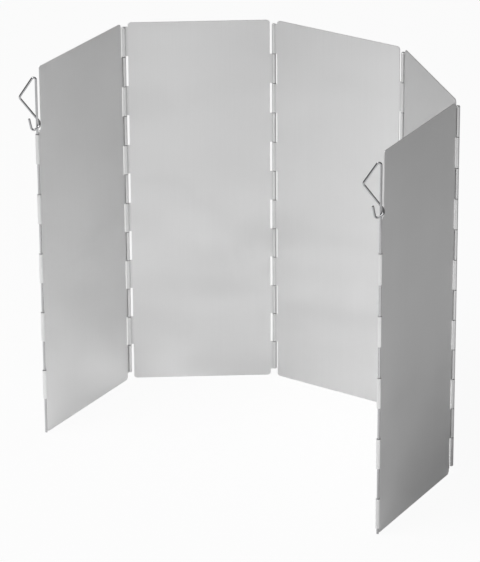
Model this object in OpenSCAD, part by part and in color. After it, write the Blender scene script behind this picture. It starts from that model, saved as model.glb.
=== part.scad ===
// Folding stove windscreen: five sheet plates hinged on steel wires, with a hook wire on each free edge.
// Plates are numbered from the left, seen from the open side. Millimetres, +Z up, open side towards -Y.
// The origin is the middle of the third plate's lower edge.

/* [Plates] */
// Height of each plate
plate_h = 240; // [180:1:320]
// Distance between the two hinge lines of a plate
plate_pitch = 92; // [60:1:140]
// Thickness of the sheet
sheet_t = 0.5; // [0.4:0.05:0.8]
// Radius of the sheet's corners
corner_r = 2; // [0.5:0.25:3]
// Radius of the free top corner beside a hook
free_corner_r = 0.8; // [0.3:0.1:2]
// Gap left between two sheets at a hinge that is folded flat
fold_gap = 0.2; // [0.1:0.05:0.3]

/* [Knuckles] */
// Rows along a plate's edge, rolled in turn by one plate and the next
rows = 12; // [8:2:16]
// Plain sheet above the first row
row_top = 2.5; // [2:0.1:10]
// Plain sheet below the last row
row_bottom = 4; // [2:0.1:10]
// End gap between two knuckles
knuckle_gap = 0.5; // [0.2:0.1:1]
// Gap between a knuckle and the sheet edge beside it
slot_gap = 1.3; // [1:0.1:3]
// Width of the open seam that rolling leaves in a knuckle
seam_w = 0.2; // [0.1:0.05:0.4]
// Length of the closed end that keeps a hinge wire in
pinch_l = 1; // [0.8:0.1:2]
// Edge radius of a closed end
pinch_r = 0.6; // [0.2:0.1:0.6]

/* [Wires] */
// Diameter of every wire
wire_d = 1.4; // [1.2:0.1:1.8]
// Running clearance around a wire, on the radius
wire_clearance = 0.08; // [0.03:0.01:0.1]
// End play of a hinge wire, at each end
wire_play = 0.2; // [0.1:0.05:0.5]
// Height of an end wire's foot above the ground
foot_z = 0.4; // [0.2:0.1:2]

/* [Hook wires] */
// Drop from the plate's top to the top of an end wire
wire_top_drop = 4.4; // [3:0.1:12]
// Reach of the triangular loop from the wire's own line to its bent corner
loop_reach = 10.2; // [8:0.1:16]
// Drop from the end wire's top to the loop's corner
loop_drop = 13.7; // [10:0.1:18]
// Drop from the end wire's top to where the loop comes back
loop_foot_drop = 28; // [25:0.1:29]
// Drop from the end wire's top to the hook's bent corner
hook_drop = 34.9; // [33.5:0.1:38]
// Drop from the end wire's top to the hook's open tip
hook_tip_drop = 26.8; // [24:0.1:28]
// Reach of the hook's bent corner
hook_reach = 3; // [2.6:0.1:5]
// Outward lean of the hook's tip past its bent corner
hook_lean = 1.6; // [0.5:0.1:3]
// Bend radius at the top of the loop
top_bend_r = 1.3; // [1:0.1:1.6]
// Bend radius at the loop's corner
loop_bend_r = 2; // [1.2:0.1:3]
// Bend radius of the hook
hook_bend_r = 1.5; // [1:0.1:1.8]
// Gap between an end wire and the turn that is wrapped round it
wrap_gap = 0.13; // [0.05:0.01:0.3]
// Gap between the wrapped turn and the plate's edge
swivel_gap = 1.6; // [0.2:0.1:2.5]
// Room below the hook, down to where the plate's edge comes out to the wire
hook_room = 1; // [0.5:0.1:2]
// Gap between an end wire and the sheet's edge below the hook
edge_gap = 0.4; // [0.3:0.1:2]
// Turn of the left hook from its plate's line, counter-clockwise from above
left_swing = -57; // [-120:1:120]
// Turn of the right hook from its plate's line, counter-clockwise from above
right_swing = -59; // [-120:1:120]

/* [Stance] */
// Fold between plates 1 and 2, towards the stove
fold_1 = 55; // [0:1:80]
// Fold between plates 2 and 3
fold_2 = 35; // [0:1:60]
// Fold between plates 3 and 4
fold_3 = 40; // [0:1:60]
// Fold between plates 4 and 5
fold_4 = 48; // [0:1:80]

/* [Hidden] */
$fn = 48;

SHEET_GREY = [0.80, 0.81, 0.82];
WIRE_GREY = [0.60, 0.61, 0.63];

// Extra depth of cuts and joins, so that faces cross instead of meeting
cut = 1;
// How far a bend runs into its straights, and how much thinner it is, so that it stays inside them
bend_overlap = 0.1;
bend_inset = 0.01;

wire_r = wire_d / 2;
bore_r = wire_r + wire_clearance;
knuckle_r = bore_r + sheet_t;
sheet_offset = (sheet_t + fold_gap) / 2;
row_h = (plate_h - row_top - row_bottom) / rows;

// An end wire's path: the wrapped turn passes the wire at lay, or at lay_in where the loop's leg slants in
wire_top = plate_h - wire_top_drop;
lay = wire_d + wrap_gap;
lay_in = lay * (loop_reach + lay) / loop_reach / cos(atan(lay / loop_reach));
wrap_reach = lay_in + wire_r;
leg_slope = (loop_foot_drop - loop_drop) / loop_reach;
wrap_turn_drop = wire_d + wrap_gap;
hook_z = wire_top - hook_drop;
hook_low = hook_z + hook_bend_r * 0.5 - wire_r;

// Hinge line to sheet edge: beside a neighbour's knuckles, and on a free edge beside the hook and below it
hinge_setback = knuckle_r + slot_gap;
hook_setback = wrap_reach + swivel_gap;
free_setback = wire_r + edge_gap;
recess_low = hook_low - hook_room;

// Plates: heading seen from above, and the face to which each edge is rolled, 1 for outer and -1 for inner
heading = [fold_1 + fold_2, fold_2, 0, -fold_3, -fold_3 - fold_4];
left_face = [-1, -1, 1, -1, 1];
right_face = [-1, 1, -1, 1, 1];

function turned(p, angle) = [p.x * cos(angle) - p.y * sin(angle), p.x * sin(angle) + p.y * cos(angle)];
function left_line(i) = [0, left_face[i] * sheet_offset];
function right_line(i) = [plate_pitch, right_face[i] * sheet_offset];
function to_left(i) = turned(left_line(i), heading[i]);
function to_right(i) = turned(right_line(i), heading[i]);

// Each plate's own corner in plan, worked outwards from the third plate
corner_3 = [-plate_pitch / 2, 0];
corner_2 = corner_3 + to_left(2) - to_right(1);
corner_1 = corner_2 + to_left(1) - to_right(0);
corner_4 = corner_3 + to_right(2) - to_left(3);
corner_5 = corner_4 + to_right(3) - to_left(4);
corner = [corner_1, corner_2, corner_3, corner_4, corner_5];

// Rows count from 1 at the top. A free edge has knuckles only below the hook
function row_low(k) = plate_h - row_top - k * row_h + knuckle_gap / 2;
function row_high(k) = row_low(k) + row_h - knuckle_gap;
function left_rows(i) = [for (k = [1:2:rows]) if (i > 0 || row_high(k) < recess_low) k];
function right_rows(i) = [for (k = [2:2:rows]) if (i < 4 || row_high(k) < recess_low) k];

module rounded_sheet(w, h, r) {
    translate([r, 0]) square([w - 2 * r, h]);
    translate([0, r]) square([w, h - 2 * r]);
    for (x = [r, w - r], y = [r, h - r]) translate([x, y]) circle(r);
}

module tongue(k, setback) {
    translate([0, row_low(k)]) square([setback + cut, row_high(k) - row_low(k)]);
}

// Sheet of a free edge: it comes out to the end wire below the hook, and ends in a sharper corner above it
module free_strip() {
    low_w = hook_setback - free_setback + 3 * corner_r;
    high_w = 3 * corner_r + 2 * free_corner_r;
    translate([free_setback, 0]) rounded_sheet(low_w, recess_low, corner_r);
    translate([hook_setback, recess_low / 2]) rounded_sheet(high_w, plate_h - recess_low / 2, free_corner_r);
}

// Flat outline of a plate, before its tongues are rolled
module plate_outline(i) {
    left = i > 0 ? hinge_setback : hook_setback;
    right = i < 4 ? hinge_setback : hook_setback;
    translate([left, 0]) rounded_sheet(plate_pitch - left - right, plate_h, corner_r);
    if (i == 0) free_strip();
    if (i == 4) translate([plate_pitch, 0]) mirror([1, 0]) free_strip();
    for (k = left_rows(i)) tongue(k, left);
    translate([plate_pitch, 0]) mirror([1, 0]) for (k = right_rows(i)) tongue(k, right);
}

// Solid barrel of one knuckle, from the ground of its row upwards. A closed end is rounded
module barrel(k, closed_end) {
    length = row_high(k) - row_low(k);
    round_r = closed_end ? pinch_r : 0;
    rotate_extrude() {
        square([knuckle_r, length - round_r]);
        if (closed_end) {
            square([knuckle_r - pinch_r, length]);
            translate([knuckle_r - pinch_r, length - pinch_r]) circle(pinch_r);
        }
    }
}

// The top row's closed end is upwards and the last row's is downwards
module knuckle(k, closed_end) {
    if (k > rows / 2) translate([0, 0, row_high(k)]) mirror([0, 0, 1]) barrel(k, closed_end);
    else translate([0, 0, row_low(k)]) barrel(k, closed_end);
}

// What rolling leaves open in a knuckle: the bore, and a seam beside the tongue on the hinge line's face
module knuckle_cut(k, closed_end, outwards, face) {
    low = row_low(k) + (closed_end && k > rows / 2 ? pinch_l : -cut);
    high = row_high(k) - (closed_end && k <= rows / 2 ? pinch_l : -cut);
    translate([0, 0, low]) cylinder(h = high - low, r = bore_r);
    seam_y = face * (sheet_t / 2 - sheet_offset + seam_w / 2);
    translate([outwards * (knuckle_r + bore_r) / 2, seam_y, (low + high) / 2])
        cube([knuckle_r, seam_w, high - low], center = true);
}

function is_closed(i, k) = (k == 1 && i > 0) || (k == rows && i < 4);

module plate(i) {
    color(SHEET_GREY) translate(corner[i]) rotate(heading[i]) difference() {
        union() {
            rotate([90, 0, 0]) linear_extrude(sheet_t, center = true) plate_outline(i);
            for (k = left_rows(i)) translate(left_line(i)) knuckle(k, is_closed(i, k));
            for (k = right_rows(i)) translate(right_line(i)) knuckle(k, is_closed(i, k));
        }
        for (k = left_rows(i)) translate(left_line(i)) knuckle_cut(k, is_closed(i, k), 1, left_face[i]);
        for (k = right_rows(i)) translate(right_line(i)) knuckle_cut(k, is_closed(i, k), -1, right_face[i]);
    }
}

// Straight wire between the closed ends of hinge i, which joins plate i and the next
module hinge_wire(i) {
    low = row_low(rows) + pinch_l + wire_play;
    high = row_high(1) - pinch_l - wire_play;
    color(WIRE_GREY) translate(corner[i - 1] + to_right(i - 1)) translate([0, 0, low])
        cylinder(h = high - low, r = wire_r);
}

function unit(v) = v / norm(v);
function across(d) = unit(abs(d.z) < 0.9 ? cross(d, [0, 0, 1]) : cross(d, [1, 0, 0]));
function frame(x, y, z, p) = [[x.x, y.x, z.x, p.x], [x.y, y.y, z.y, p.y], [x.z, y.z, z.z, p.z], [0, 0, 0, 1]];

module straight(p, q) {
    d = unit(q - p);
    multmatrix(frame(across(d), cross(d, across(d)), d, p)) cylinder(h = norm(q - p), r = wire_r);
}

// Round bend of radius r at corner q, between the directions d and e
module bend(q, d, e, r) {
    angle = acos(d * e);
    inwards = unit(e - (d * e) * d);
    centre = q - d * r * tan(angle / 2) + inwards * r;
    overlap = bend_overlap / r * 180 / PI;
    multmatrix(frame(-inwards, d, cross(-inwards, d), centre)) rotate(-overlap)
        rotate_extrude(angle = angle + 2 * overlap) translate([r, 0]) circle(wire_r - bend_inset);
}

// Wire through a list of corners, with a bend radius at each inner one
module bent_wire(c, radius) {
    last = len(c) - 1;
    way = [for (k = [0:last - 1]) unit(c[k + 1] - c[k])];
    trim = [for (k = [0:last]) k == 0 || k == last ? 0 : radius[k - 1] * tan(acos(way[k - 1] * way[k]) / 2)];
    for (k = [0:last - 1]) straight(c[k] + way[k] * trim[k], c[k + 1] - way[k] * trim[k + 1]);
    for (k = [1:last - 1]) bend(c[k], way[k - 1], way[k], radius[k - 1]);
}

// End wire about its own line, its loop along +X: up, out and back, round behind the wire, out as the hook
module end_wire() {
    loop_corner = [loop_reach, 0, wire_top - loop_drop];
    loop_lean = atan(loop_reach / (loop_drop - wire_r));
    top_corner = [0, 0, wire_top - wire_r - top_bend_r + top_bend_r * tan(90 - loop_lean / 2)];
    wrap_in = [-lay, -lay_in, loop_corner.z - leg_slope * (loop_reach + lay)];
    wrap_out = [-lay, lay, wrap_in.z - wrap_turn_drop];
    hook_corner = [hook_reach, lay + wrap_gap, hook_z];
    hook_tip = [hook_reach + hook_lean, lay, wire_top - hook_tip_drop];
    bent_wire(
        [[0, 0, foot_z], top_corner, loop_corner, wrap_in, wrap_out, hook_corner, hook_tip],
        [top_bend_r, loop_bend_r, lay, lay, hook_bend_r]
    );
}

module end_wire_left() {
    color(WIRE_GREY) translate(corner[0] + to_left(0)) rotate(heading[0] + 180 + left_swing) end_wire();
}

module end_wire_right() {
    color(WIRE_GREY) translate(corner[4] + to_right(4)) rotate(heading[4] + right_swing) end_wire();
}

plate(0);  // plate_1
plate(1);  // plate_2
plate(2);  // plate_3
plate(3);  // plate_4
plate(4);  // plate_5
hinge_wire(1);  // hinge_wire_1
hinge_wire(2);  // hinge_wire_2
hinge_wire(3);  // hinge_wire_3
hinge_wire(4);  // hinge_wire_4
end_wire_left();
end_wire_right();
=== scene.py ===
"""Folding stove windscreen: finishes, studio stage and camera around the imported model."""
import math

import bmesh
import bpy
from bpy.props import FloatProperty, FloatVectorProperty, PointerProperty
from mathutils import Matrix, Vector


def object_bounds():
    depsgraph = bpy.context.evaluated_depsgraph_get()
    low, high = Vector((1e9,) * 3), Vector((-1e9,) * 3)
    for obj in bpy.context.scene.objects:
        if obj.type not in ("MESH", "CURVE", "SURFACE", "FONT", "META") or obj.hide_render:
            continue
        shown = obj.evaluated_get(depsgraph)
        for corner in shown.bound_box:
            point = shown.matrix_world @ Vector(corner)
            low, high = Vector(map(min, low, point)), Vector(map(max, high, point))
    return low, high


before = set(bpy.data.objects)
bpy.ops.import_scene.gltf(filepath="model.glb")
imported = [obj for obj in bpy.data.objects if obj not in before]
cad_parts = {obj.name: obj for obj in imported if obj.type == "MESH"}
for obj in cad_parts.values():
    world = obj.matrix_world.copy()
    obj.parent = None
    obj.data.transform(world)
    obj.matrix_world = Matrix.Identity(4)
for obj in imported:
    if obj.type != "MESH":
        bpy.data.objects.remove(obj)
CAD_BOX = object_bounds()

bl_info = {
    "name": "Stove Windscreen",
    "version": (1, 0, 0),
    "blender": (4, 5, 0),
    "location": "View3D > Sidebar > Windscreen",
    "description": "Finishes and stages a folding sheet-metal stove windscreen",
    "category": "Object",
}

PLATES = sorted(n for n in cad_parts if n.startswith("plate_"))
HINGE_WIRES = sorted(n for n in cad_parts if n.startswith("hinge_wire_"))
END_WIRES = sorted(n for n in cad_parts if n.startswith("end_wire_"))

# Noise over the metal, in features per metre along each axis
ROLLING_LINES = (1500, 1500, 14)
CLOUDS = (9, 9, 6)
RUBS = (240, 240, 9)
WAVES = (13, 13, 24)
DRAWING_LINES = (5200, 5200, 90)
DULL_PATCHES = (160, 160, 60)
NOISE_MIDDLE = 0.5
NOISE_SPREAD = (0.3, 0.7)

# Depths of the bumps in metres
ROLLING_DEPTH = 0.00002
WAVE_DEPTH = 0.02
DRAWING_DEPTH = 0.00001
DRAWING_STRENGTH = 0.2

# Where the sheet's details come in: noise for rubs, how level a face lies for edges, open air for the
# painted shade in the creases
RUB_BAND = (0.66, 0.74)
EDGE_BAND = (0.85, 0.95)
CREASE_BAND = (0.8, 0.98)
CREASE_REACH = 0.002
CREASE_SAMPLES = 8

# The sheet is wavier towards its foot: heights in metres, and the share of the wave that is left above
DENTED_BELOW = 0.08
SMOOTH_ABOVE = 0.14
SMOOTH_WAVE = 0.2

# How far each detail changes the sheet's and the wire's tone and roughness
CLOUD_TONE = (0.96, 1.04)
ROLLING_TONE = 0.05
CLOUD_ROUGHNESS = 0.10
ROLLING_ROUGHNESS = 0.12
RUB_POLISH = 0.04
EDGE_ROUGHNESS = 0.1
DULL_TONE = (0.9, 1.06)
DRAWING_TONE = 0.08
DULL_ROUGHNESS = 0.12
DRAWING_ROUGHNESS = 0.08

WHITE = (1, 1, 1, 1)
FLOOR_SIZE = 12.0
# Share of plain white in the floor that the camera sees; the rest shows the shadow
SEEN_WHITE = 0.94
# Pools of light on the floor, as the metal shows them: centre, core radius, outer radius, level
GLOW_POOLS = (
    ((-0.30, -0.36, 0.0), 0.2, 0.52, 1.0),
    ((0.2, -0.45, 0.0), 0.1, 0.36, 0.8),
    ((-0.25, 0.36, 0.0), 0.15, 0.36, 1.6),
    ((0.42, -0.22, 0.0), 0.1, 0.26, 1.6),
    ((-0.095, -0.044, 0.0), 0.005, 0.045, 0.55),
)
KEY_PLACE = (-0.6, -0.9, 1.6)
KEY_SIZE = 1.0
FILL_PLACE = (0.9, -1.6, 1.6)
FILL_SIZE = 1.2
LAMP_AIM = (0.0, -0.06, 0.1)
SENSOR_WIDTH = 36


class SheetFinish(bpy.types.PropertyGroup):
    """Satin mill-finish aluminium of the plates."""
    colour: FloatVectorProperty(
        name="Sheet", description="Colour of the rolled sheet", subtype="COLOR",
        size=4, min=0, max=1, default=(0.88, 0.88, 0.88, 1))
    edge_colour: FloatVectorProperty(
        name="Cut edge", description="Colour of the sheared edges", subtype="COLOR",
        size=4, min=0, max=1, default=(0.74, 0.74, 0.74, 1))
    roughness: FloatProperty(
        name="Roughness", description="Blur of the sheet's reflections",
        min=0, max=1, default=0.5, subtype="FACTOR")
    grain: FloatProperty(
        name="Grain", description="Strength of the rolling lines",
        min=0, max=1, default=0.25, subtype="FACTOR")
    wave: FloatProperty(
        name="Wave", description="Strength of the sheet's slow unevenness",
        min=0, max=1, default=0.25, subtype="FACTOR")
    # Painted shade: how much darker the sheet is painted in the creases beside the rolled edges
    creases: FloatProperty(
        name="Creases", description="How much duller the creases beside the rolled edges are",
        min=0, max=1, default=0.14, subtype="FACTOR")


class WireFinish(bpy.types.PropertyGroup):
    """Bright drawn steel of the wires."""
    colour: FloatVectorProperty(
        name="Wire", description="Colour of the drawn wire", subtype="COLOR",
        size=4, min=0, max=1, default=(0.48, 0.48, 0.49, 1))
    roughness: FloatProperty(
        name="Roughness", description="Blur of the wire's reflections",
        min=0, max=1, default=0.12, subtype="FACTOR")


class StudioSettings(bpy.types.PropertyGroup):
    """Floor, light and the photograph's camera."""
    floor_colour: FloatVectorProperty(
        name="Floor", description="Colour of the floor", subtype="COLOR",
        size=4, min=0, max=1, default=(0.9, 0.9, 0.9, 1))
    sky: FloatProperty(
        name="Sky", description="Strength of the even studio light", min=0, max=4, default=0.16)
    glow: FloatProperty(
        name="Glow", description="How bright the pools of light on the floor look in the metal",
        min=0, max=1, default=0.45)
    key_power: FloatProperty(
        name="Key", description="Power of the softbox above the open side", unit="POWER",
        min=0, max=200, default=16.5)
    fill_power: FloatProperty(
        name="Fill", description="Power of the softbox beside the camera", unit="POWER",
        min=0, max=200, default=5.6)
    yaw: FloatProperty(
        name="Yaw", description="Camera's turn from straight on", subtype="ANGLE",
        default=math.radians(32.83))
    pitch: FloatProperty(
        name="Pitch", description="Camera's height angle", subtype="ANGLE", default=math.radians(24.19))
    roll: FloatProperty(
        name="Roll", description="Camera's roll", subtype="ANGLE", default=math.radians(-0.37))
    distance: FloatProperty(
        name="Distance", description="Camera to the aim point", unit="LENGTH", min=0.1, default=2.3)
    aim: FloatVectorProperty(
        name="Aim", description="Point in the middle of the picture", subtype="XYZ", unit="LENGTH",
        default=(-0.0376, -0.0528, 0.0872))
    lens: FloatProperty(
        name="Lens", description="Focal length for a 36 mm sensor", min=10, default=239.4)


class WindscreenSettings(bpy.types.PropertyGroup):
    """All that a user would change."""
    sheet: PointerProperty(type=SheetFinish)
    wire: PointerProperty(type=WireFinish)
    studio: PointerProperty(type=StudioSettings)


class Socket:
    """A shader socket that takes part in Python sums, and starts further nodes."""

    def __init__(self, tree, socket=None):
        self.tree = tree
        self.socket = socket

    def node(self, kind, settings=None, inputs=None, output=0):
        """Adds a node: settings are set first, then inputs get values or links."""
        made = self.tree.nodes.new(kind)
        for key, value in (settings or {}).items():
            setattr(made, key, value)
        for key, value in (inputs or {}).items():
            if isinstance(value, Socket):
                self.tree.links.new(value.socket, made.inputs[key])
            else:
                made.inputs[key].default_value = value
        return Socket(self.tree, made.outputs[output]) if made.outputs else made

    def _math(self, operation, first, second):
        return self.node("ShaderNodeMath", {"operation": operation}, {0: first, 1: second})

    def __add__(self, other):
        return self._math("ADD", self, other)

    def __radd__(self, other):
        return self._math("ADD", other, self)

    def __sub__(self, other):
        return self._math("SUBTRACT", self, other)

    def __rsub__(self, other):
        return self._math("SUBTRACT", other, self)

    def __mul__(self, other):
        return self._math("MULTIPLY", self, other)

    def __rmul__(self, other):
        return self._math("MULTIPLY", other, self)


def new_material(name):
    """An empty node material, and a Socket to start its nodes from."""
    material = bpy.data.materials.new(name)
    material.use_nodes = True
    material.node_tree.nodes.clear()
    return material, Socket(material.node_tree)


def finish_material(start, shader):
    start.node("ShaderNodeOutputMaterial", None, {"Surface": shader})


def noise(start, place, scale, detail=2.0, roughness=0.5):
    """Noise over Object coordinates, stretched by a scale in features per metre along each axis."""
    mapped = start.node("ShaderNodeMapping", {"vector_type": "POINT"}, {"Vector": place, "Scale": scale})
    return start.node(
        "ShaderNodeTexNoise", None,
        {"Vector": mapped, "Scale": 1.0, "Detail": detail, "Roughness": roughness})


def stretch(start, value, low, high, to_low=0.0, to_high=1.0):
    """A value from low to high turned into one from to_low to to_high."""
    return start.node(
        "ShaderNodeMapRange", {"clamp": True},
        {"Value": value, "From Min": low, "From Max": high, "To Min": to_low, "To Max": to_high})


def sway(value, amount):
    """Noise turned into a change to either side of nothing."""
    return (value - NOISE_MIDDLE) * amount


def tinted(start, colour, tone):
    """A colour made lighter or darker over the surface."""
    return start.node(
        "ShaderNodeVectorMath", {"operation": "SCALE"}, {0: tuple(colour)[:3], "Scale": tone})


def metal(start, colour, rough, bump):
    """The metal shader that ends a material."""
    shader = start.node(
        "ShaderNodeBsdfPrincipled", None,
        {"Base Color": colour, "Metallic": 1.0, "Roughness": rough, "Normal": bump})
    finish_material(start, shader)


def sheet_material(finish):
    """Rolled aluminium: fine lines along the height, slow clouds, rubs, painted shade in the creases and
    sheared edges.
    """
    material, start = new_material("satin_sheet")
    place = start.node("ShaderNodeTexCoord", None, None, "Object")
    lines = noise(start, place, ROLLING_LINES, detail=3.0, roughness=0.6)
    clouds = noise(start, place, CLOUDS)
    rubs = stretch(start, noise(start, place, RUBS, detail=1.0), *RUB_BAND)
    height = start.node("ShaderNodeSeparateXYZ", None, {"Vector": place}, "Z")
    dented = stretch(start, height, DENTED_BELOW, SMOOTH_ABOVE, 1.0, SMOOTH_WAVE)
    wave = sway(noise(start, place, WAVES, detail=1.0, roughness=0.4), dented)
    normal = start.node("ShaderNodeNewGeometry", None, None, "Normal")
    upright = start.node("ShaderNodeSeparateXYZ", None, {"Vector": normal}, "Z")
    level = start.node("ShaderNodeMath", {"operation": "ABSOLUTE"}, {0: upright})
    edge = stretch(start, level, *EDGE_BAND)
    # Painted shade: ambient occlusion over the piece's own shape darkens the sheet's colour in the creases
    # beside the rolled edges
    open_to_air = start.node(
        "ShaderNodeAmbientOcclusion", {"only_local": True, "samples": CREASE_SAMPLES},
        {"Distance": CREASE_REACH}, "AO")
    painted_crease_shade = stretch(start, open_to_air, *CREASE_BAND, 1.0 - finish.creases, 1.0)
    tone = (stretch(start, clouds, *NOISE_SPREAD, *CLOUD_TONE) + sway(lines, ROLLING_TONE)) * painted_crease_shade
    colour = start.node(
        "ShaderNodeMix", {"data_type": "RGBA"},
        {"Factor": edge, 6: tinted(start, finish.colour, tone), 7: tuple(finish.edge_colour)}, 2)
    uneven = finish.roughness + sway(clouds, CLOUD_ROUGHNESS) + sway(lines, ROLLING_ROUGHNESS)
    rough = uneven - rubs * RUB_POLISH + edge * EDGE_ROUGHNESS
    slow = start.node(
        "ShaderNodeBump", None, {"Strength": finish.wave, "Distance": WAVE_DEPTH, "Height": wave})
    bump = start.node(
        "ShaderNodeBump", None,
        {"Strength": finish.grain, "Distance": ROLLING_DEPTH, "Height": lines, "Normal": slow})
    metal(start, colour, rough, bump)
    return material


def wire_material(finish):
    """Drawn steel: bright, with fine lines and faint dull patches."""
    material, start = new_material("drawn_wire")
    place = start.node("ShaderNodeTexCoord", None, None, "Object")
    lines = noise(start, place, DRAWING_LINES)
    dull = noise(start, place, DULL_PATCHES)
    tone = stretch(start, dull, *NOISE_SPREAD, *DULL_TONE) + sway(lines, DRAWING_TONE)
    rough = finish.roughness + sway(dull, DULL_ROUGHNESS) + sway(lines, DRAWING_ROUGHNESS)
    bump = start.node(
        "ShaderNodeBump", None,
        {"Strength": DRAWING_STRENGTH, "Distance": DRAWING_DEPTH, "Height": lines})
    metal(start, tinted(start, finish.colour, tone), rough, bump)
    return material


def dress(names, material):
    """Gives CAD nodes a material."""
    for name in names:
        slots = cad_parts[name].data.materials
        slots.clear()
        slots.append(material)


class WINDSCREEN_OT_plates(bpy.types.Operator):
    """Finish the five hinged plates as satin sheet"""
    bl_idname = "windscreen.plates"
    bl_label = "Finish Plates"

    def execute(self, context):
        dress(PLATES, sheet_material(context.scene.windscreen.sheet))
        return {"FINISHED"}


class WINDSCREEN_OT_wires(bpy.types.Operator):
    """Finish the hinge wires and the hooked end wires as drawn steel"""
    bl_idname = "windscreen.wires"
    bl_label = "Finish Wires"

    def execute(self, context):
        dress(HINGE_WIRES + END_WIRES, wire_material(context.scene.windscreen.wire))
        return {"FINISHED"}


def light_path(start):
    """Rays straight from the camera, and rays that metal or glass passes on."""
    camera = start.node("ShaderNodeLightPath", None, None, "Is Camera Ray")
    outputs = camera.socket.node.outputs
    glossy = Socket(start.tree, outputs["Is Glossy Ray"])
    through = Socket(start.tree, outputs["Is Transmission Ray"])
    return camera, glossy + through


def pool(start, place, centre, core, reach, level):
    """A round pool of light that fades out between two radii."""
    away = start.node(
        "ShaderNodeVectorMath", {"operation": "DISTANCE"}, {0: place, 1: centre}, "Value")
    return stretch(start, away, core, reach, level, 0.0)


def floor_material(studio):
    """Pale floor: white with a faint shadow to the camera, and lit in pools as the metal shows it."""
    material, start = new_material("pale_floor")
    camera, mirrored = light_path(start)
    place = start.node("ShaderNodeTexCoord", None, None, "Object")
    glow = studio.glow * sum(pool(start, place, *spot) for spot in GLOW_POOLS)
    diffuse = start.node("ShaderNodeBsdfDiffuse", None, {"Color": tuple(studio.floor_colour)})
    lit = start.node("ShaderNodeEmission", None, {"Color": glow * mirrored, "Strength": 1.0})
    white = start.node("ShaderNodeEmission", None, {"Color": WHITE, "Strength": 1.0})
    pale = start.node("ShaderNodeAddShader", None, {0: diffuse, 1: lit})
    shader = start.node("ShaderNodeMixShader", None, {"Fac": camera * SEEN_WHITE, 1: pale, 2: white})
    finish_material(start, shader)
    return material


def add_floor(studio):
    mesh = bpy.data.meshes.new("floor")
    shape = bmesh.new()
    bmesh.ops.create_grid(shape, x_segments=1, y_segments=1, size=FLOOR_SIZE / 2)
    shape.to_mesh(mesh)
    shape.free()
    floor = bpy.data.objects.new("floor", mesh)
    floor.location.z = CAD_BOX[0].z
    mesh.materials.append(floor_material(studio))
    bpy.context.scene.collection.objects.link(floor)


def add_softbox(name, place, size, power):
    data = bpy.data.lights.new(name, "AREA")
    data.size = size
    data.energy = power
    lamp = bpy.data.objects.new(name, data)
    lamp.location = place
    lamp.rotation_mode = "QUATERNION"
    lamp.rotation_quaternion = (Vector(LAMP_AIM) - Vector(place)).to_track_quat("-Z", "Y")
    bpy.context.scene.collection.objects.link(lamp)


def set_world(studio):
    """Even light on the metal, and plain white to the camera."""
    world = bpy.data.worlds.new("studio")
    world.use_nodes = True
    world.node_tree.nodes.clear()
    start = Socket(world.node_tree)
    light = start.node("ShaderNodeBackground", None, {"Color": WHITE, "Strength": studio.sky})
    white = start.node("ShaderNodeBackground", None, {"Color": WHITE, "Strength": 1.0})
    path = start.node("ShaderNodeLightPath", None, None, "Is Camera Ray")
    shader = start.node("ShaderNodeMixShader", None, {"Fac": path, 1: light, 2: white})
    start.node("ShaderNodeOutputWorld", None, {"Surface": shader})
    bpy.context.scene.world = world


def add_camera(studio):
    forward = Vector((
        -math.sin(studio.yaw) * math.cos(studio.pitch),
        math.cos(studio.yaw) * math.cos(studio.pitch),
        -math.sin(studio.pitch)))
    data = bpy.data.cameras.new("photo_camera")
    data.sensor_width = SENSOR_WIDTH
    data.lens = studio.lens
    camera = bpy.data.objects.new("photo_camera", data)
    camera.rotation_mode = "QUATERNION"
    camera.location = Vector(studio.aim) - forward * studio.distance
    turn = forward.to_track_quat("-Z", "Y").to_matrix()
    camera.rotation_quaternion = (turn @ Matrix.Rotation(studio.roll, 3, "Z")).to_quaternion()
    bpy.context.scene.collection.objects.link(camera)
    bpy.context.scene.camera = camera


class WINDSCREEN_OT_stage(bpy.types.Operator):
    """Set the pale floor, the soft light and the photograph's camera"""
    bl_idname = "windscreen.stage"
    bl_label = "Set Stage"

    def execute(self, context):
        studio = context.scene.windscreen.studio
        add_floor(studio)
        set_world(studio)
        add_softbox("key_softbox", KEY_PLACE, KEY_SIZE, studio.key_power)
        add_softbox("fill_softbox", FILL_PLACE, FILL_SIZE, studio.fill_power)
        add_camera(studio)
        context.scene.view_settings.view_transform = "Standard"
        return {"FINISHED"}


class WINDSCREEN_PT_panel(bpy.types.Panel):
    """Lists the windscreen's pieces and its stage"""
    bl_label = "Stove Windscreen"
    bl_idname = "WINDSCREEN_PT_panel"
    bl_space_type = "VIEW_3D"
    bl_region_type = "UI"
    bl_category = "Windscreen"

    def draw(self, context):
        settings = context.scene.windscreen
        groups = (
            (WINDSCREEN_OT_plates, settings.sheet),
            (WINDSCREEN_OT_wires, settings.wire),
            (WINDSCREEN_OT_stage, settings.studio),
        )
        for operator, group in groups:
            box = self.layout.box()
            for name in group.__annotations__:
                box.prop(group, name)
            box.operator(operator.bl_idname)


CLASSES = (
    SheetFinish,
    WireFinish,
    StudioSettings,
    WindscreenSettings,
    WINDSCREEN_OT_plates,
    WINDSCREEN_OT_wires,
    WINDSCREEN_OT_stage,
    WINDSCREEN_PT_panel,
)


def register():
    for cls in CLASSES:
        bpy.utils.register_class(cls)
    bpy.types.Scene.windscreen = PointerProperty(type=WindscreenSettings)


def unregister():
    del bpy.types.Scene.windscreen
    for cls in reversed(CLASSES):
        bpy.utils.unregister_class(cls)


def main():
    register()
    bpy.ops.windscreen.stage()
    bpy.ops.windscreen.plates()
    bpy.ops.windscreen.wires()


if __name__ == "__main__":
    main()
